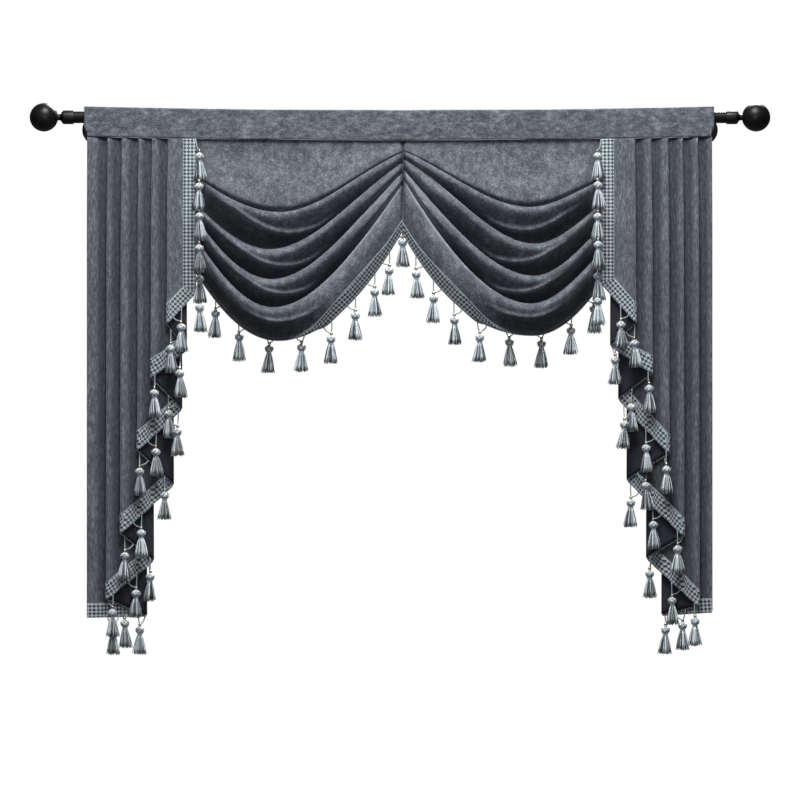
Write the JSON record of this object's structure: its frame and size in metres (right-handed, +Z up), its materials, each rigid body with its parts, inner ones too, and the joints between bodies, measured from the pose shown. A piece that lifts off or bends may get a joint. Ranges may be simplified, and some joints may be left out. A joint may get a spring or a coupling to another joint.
{
  "type": "swag valance on a curtain rod",
  "caption": "Swag valance of mottled grey cloth with draped swags, stepped side tails and tassel trim, on a black rod with ball finials and wall brackets.",
  "frame": {"origin": "on the wall plane, midway between the two wall brackets, at the height of the rod's axis", "axes": "+Z up, +X along the rod towards the viewer's right, +Y into the wall; the cloth's face looks along -Y"},
  "size_m": [1.766, 0.165, 1.3153],
  "materials": {
    "black_metal": "satin black",
    "chenille_cloth": "slate grey chenille, mottled",
    "fringe_yarn": "silver, white and dark grey yarn, with gold beads"
  },
  "bodies": {
    "root": {"rod": "black_metal", "finial_left": "black_metal", "finial_right": "black_metal", "bracket_left": "black_metal", "bracket_right": "black_metal", "heading_band": "chenille_cloth", "swag_left": "chenille_cloth", "swag_right": "chenille_cloth", "tail_left": "chenille_cloth", "tail_right": "chenille_cloth", "fringe_swag_left": "fringe_yarn", "fringe_swag_right": "fringe_yarn", "fringe_tail_left": "fringe_yarn", "fringe_tail_right": "fringe_yarn"}
  },
  "joints": []
}
